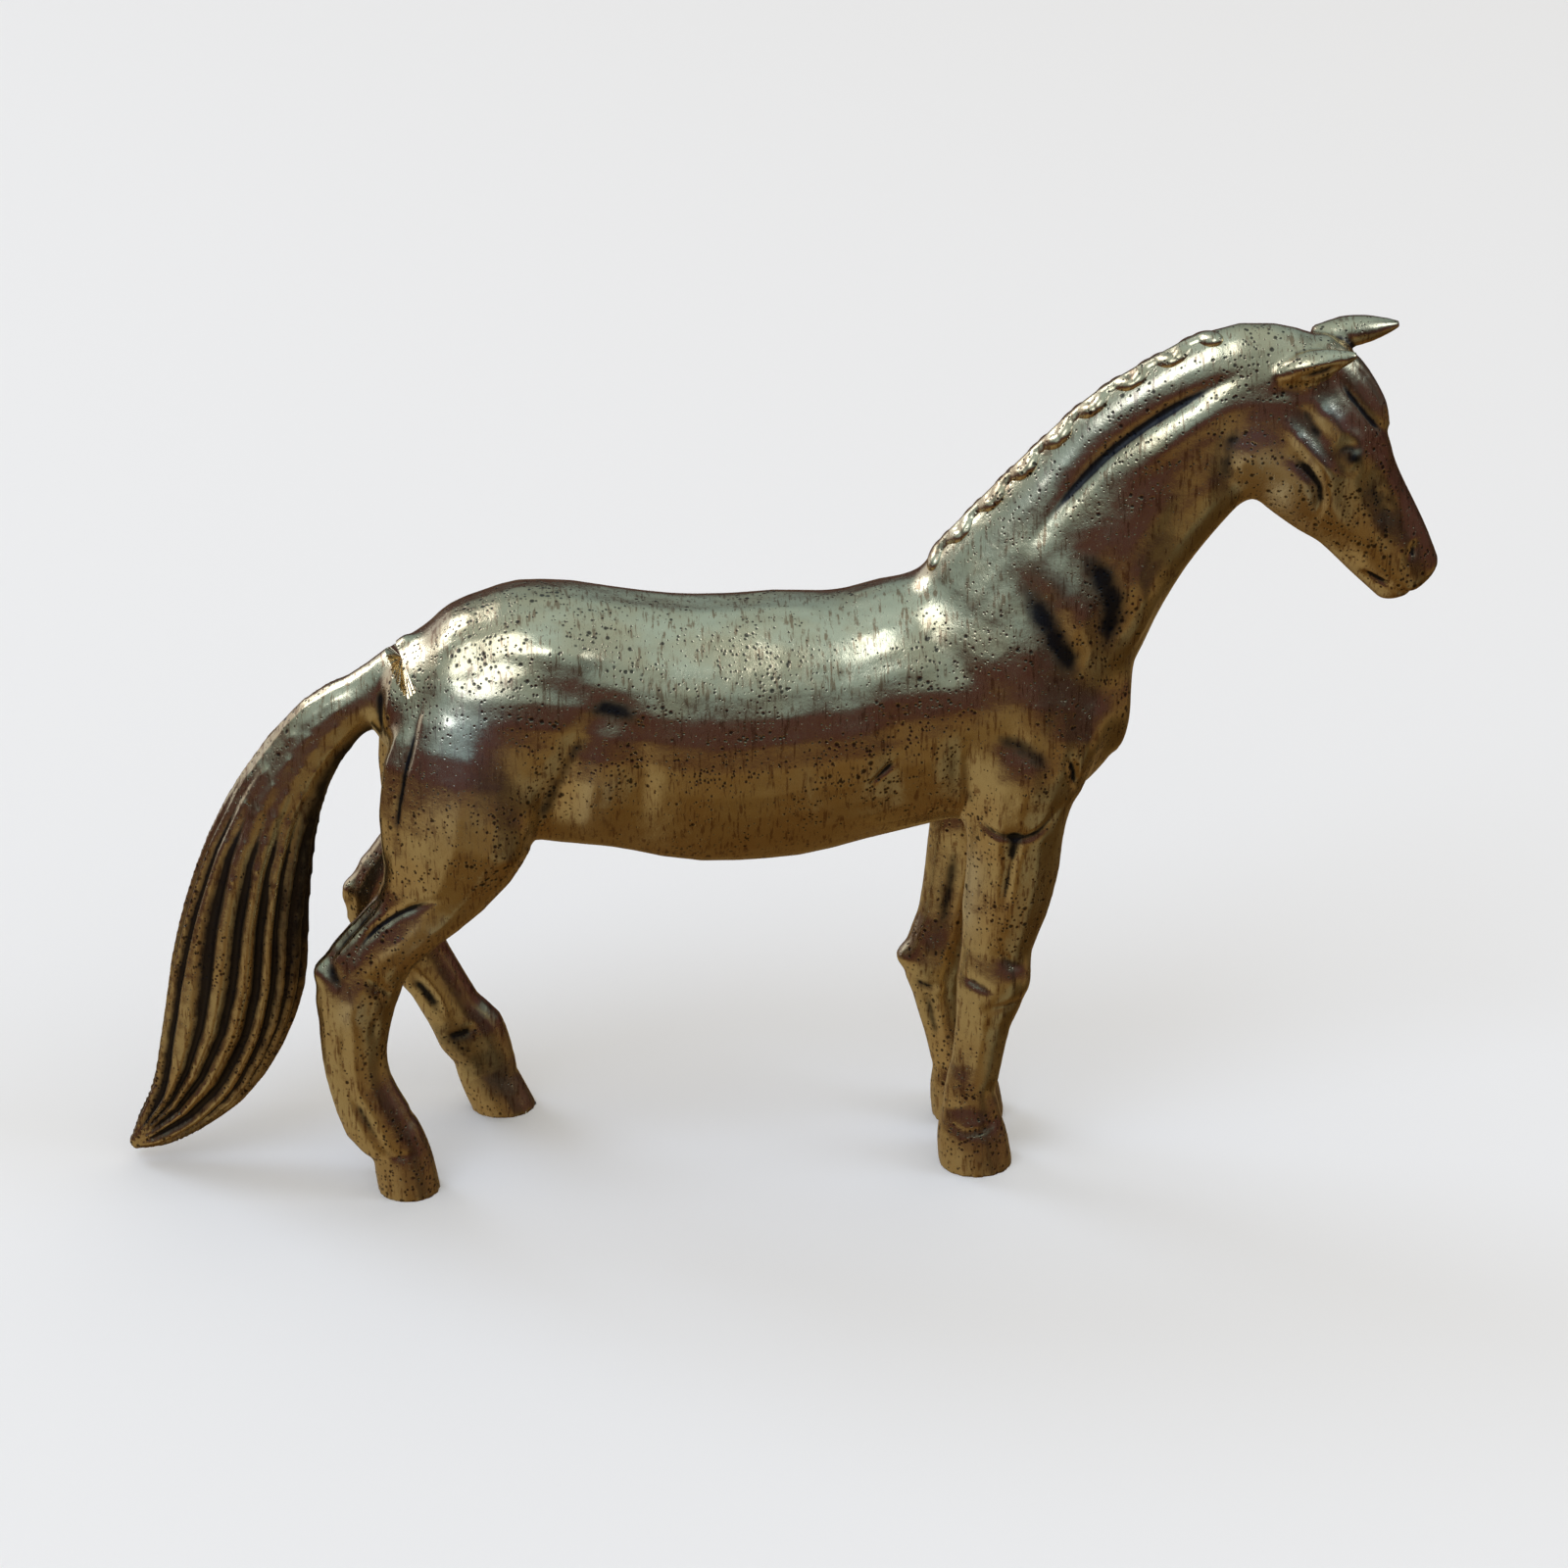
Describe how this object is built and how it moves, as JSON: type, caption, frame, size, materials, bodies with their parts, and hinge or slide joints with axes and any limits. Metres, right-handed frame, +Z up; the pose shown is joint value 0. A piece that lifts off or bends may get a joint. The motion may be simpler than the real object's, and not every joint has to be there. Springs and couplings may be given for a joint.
{
  "type": "horse figurine",
  "caption": "Small solid brass figurine of a horse standing with one hind leg forward, plaited mane, pricked ears and a long fluted tail.",
  "frame": {"origin": "on the ground, at the centre of the bounding box", "axes": "+X towards the nose, +Y towards the horse's left side, +Z up"},
  "size_m": [0.0756, 0.014, 0.051],
  "materials": {
    "body": "polished cast brass with dark patina in the creases",
    "locks": "cast brass, flutes darkened, ridges polished",
    "hooves": "cast brass, duller and browner"
  },
  "bodies": {
    "root": {"trunk": "body", "neck": "body", "head": "body", "right_ear": "body", "left_ear": "body", "forelock": "locks", "plaited_mane": "locks", "tail": "locks", "right_foreleg": "body", "left_foreleg": "body", "right_hind_leg": "body", "left_hind_leg": "body", "right_fore_hoof": "hooves", "left_fore_hoof": "hooves", "right_hind_hoof": "hooves", "left_hind_hoof": "hooves"}
  },
  "joints": []
}
